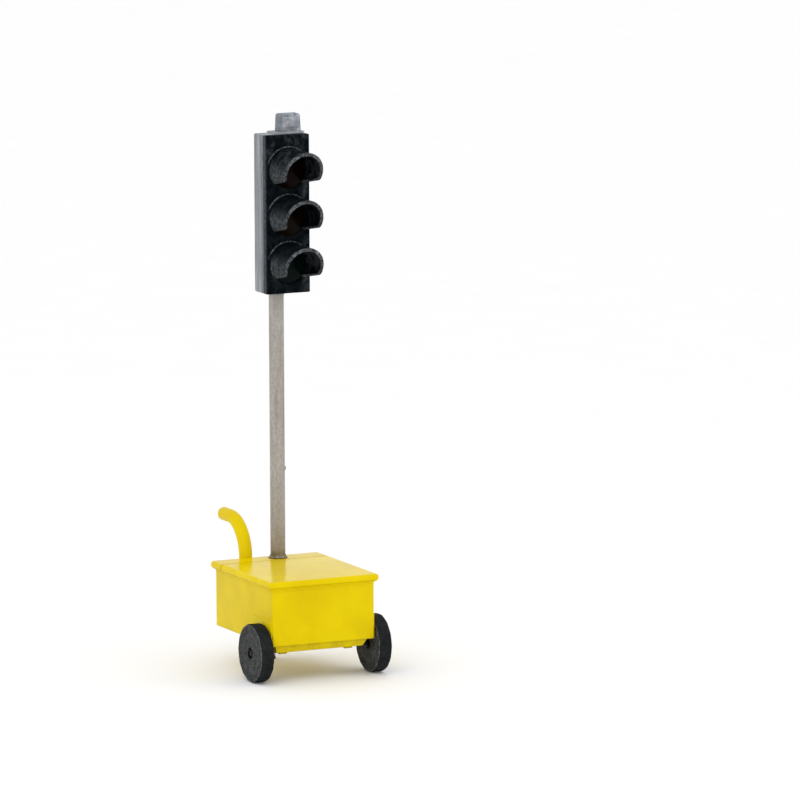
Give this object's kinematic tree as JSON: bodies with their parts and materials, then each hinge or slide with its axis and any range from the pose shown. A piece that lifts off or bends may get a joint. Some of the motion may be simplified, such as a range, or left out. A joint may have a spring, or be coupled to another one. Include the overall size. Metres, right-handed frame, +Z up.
{
  "type": "portable traffic light",
  "caption": "Portable traffic light: a signal head with cowl visors and a vehicle detector on a lift-out mast, carried by a wheeled battery trolley with a hinged lid and a towing handle.",
  "frame": {"origin": "on the ground below the middle of the whole object's box", "axes": "+Z up, lamps face -Y, towing handle towards +Y, +X to the right as seen from the front"},
  "size_m": [0.72, 1.072, 2.7864],
  "materials": {
    "yellow_paint": "gloss",
    "galvanised_steel": "satin",
    "bright_steel": "satin",
    "dark_rubber": "matte",
    "tyre_rubber": "matte",
    "hub_plastic": "matte",
    "bronze": "satin",
    "black_plastic": "matte",
    "grey_plastic": "matte",
    "detector_plastic": "matte",
    "lens_red": "gloss",
    "lens_amber": "gloss",
    "lens_green": "gloss",
    "reflector_chrome": "polished",
    "lamp_glass": "gloss",
    "battery_plastic": "satin",
    "cable_rubber": "matte",
    "board_laminate": "satin",
    "button_plastic": "gloss"
  },
  "bodies": {
    "trolley": {"box_body": "yellow_paint", "axle_beam": "yellow_paint", "axle": "bright_steel", "axle_clamps": "yellow_paint", "side_plates": "yellow_paint", "plate_rivets": "yellow_paint", "rear_deck": "yellow_paint", "mast_collar": "galvanised_steel", "mast_socket": "galvanised_steel", "handle_tube": "yellow_paint", "handle_plug": "dark_rubber", "handle_brackets": "yellow_paint", "frame_bolts": "bright_steel", "rear_foot": "galvanised_steel", "foot_pads": "dark_rubber", "batteries": "battery_plastic", "battery_terminals": "bronze", "battery_clamp": "bright_steel", "battery_leads": "cable_rubber", "controller_case": "grey_plastic", "controller_panel": "grey_plastic", "circuit_board": "board_laminate", "lid_seal": "dark_rubber", "hinge_leaf_deck": "yellow_paint", "hinge_pin": "bright_steel", "padlock_lug_box": "yellow_paint", "axle_fasteners": "bright_steel"},
    "lid": {"lid": "yellow_paint", "hinge_leaf_lid": "yellow_paint", "padlock_lug_lid": "yellow_paint"},
    "wheel_left": {"tyre_left": "tyre_rubber", "hub_left": "hub_plastic", "bush_left": "bronze"},
    "wheel_right": {"tyre_right": "tyre_rubber", "hub_right": "hub_plastic", "bush_right": "bronze"},
    "mast": {"mast_tube": "galvanised_steel", "mast_cable": "cable_rubber", "mast_screw": "bright_steel"},
    "head": {"head_housing": "grey_plastic", "head_socket": "grey_plastic", "detector_base": "detector_plastic", "reflectors": "reflector_chrome", "lamps": "lamp_glass", "lamp_holders": "black_plastic", "head_cable": "cable_rubber", "door_hinge_pins": "bright_steel"},
    "door": {"door_panel": "black_plastic", "door_screws": "bright_steel", "visor_red": "black_plastic", "visor_amber": "black_plastic", "visor_green": "black_plastic", "lens_red": "lens_red", "lens_amber": "lens_amber", "lens_green": "lens_green", "lens_gaskets": "dark_rubber"},
    "detector": {"detector_housing": "detector_plastic", "detector_cover": "detector_plastic"},
    "selector": {"selector_knob": "black_plastic"},
    "test_button": {"push_button": "button_plastic"}
  },
  "joints": [
    {"name": "lid_hinge", "type": "hinge", "parent": "trolley", "child": "lid", "pos_m": [0, 0.092, 0.515], "axis": [-1, 0, 0], "range_deg": [0, 88]},
    {"name": "wheel_left_spin", "type": "hinge", "parent": "trolley", "child": "wheel_left", "pos_m": [-0.3245, -0.388, 0.148], "axis": [1, 0, 0], "continuous": true},
    {"name": "wheel_right_spin", "type": "hinge", "parent": "trolley", "child": "wheel_right", "pos_m": [0.3245, -0.388, 0.148], "axis": [1, 0, 0], "continuous": true},
    {"name": "mast_lift", "type": "slide", "parent": "trolley", "child": "mast", "axis": [0, 0, 1], "range_m": [0, 0.3]},
    {"name": "head_turn", "type": "hinge", "parent": "mast", "child": "head", "pos_m": [0.044, 0.155, 1.886], "axis": [0, 0, 1], "range_deg": [-170, 170]},
    {"name": "door_hinge", "type": "hinge", "parent": "head", "child": "door", "pos_m": [0.193, 0.091, 2.288], "axis": [0, 0, 1], "range_deg": [0, 110]},
    {"name": "detector_turn", "type": "hinge", "parent": "head", "child": "detector", "pos_m": [0.12, 0.168, 2.698], "axis": [0, 0, 1], "range_deg": [-45, 45]},
    {"name": "selector_turn", "type": "hinge", "parent": "trolley", "child": "selector", "pos_m": [-0.19, 0.043, 0.436], "axis": [0, 0, 1], "range_deg": [-60, 60]},
    {"name": "button_press", "type": "slide", "parent": "trolley", "child": "test_button", "axis": [0, 0, 1], "range_m": [-0.004, 0], "stiffness_N_per_m": 700, "springref_m": 0.001}
  ]
}
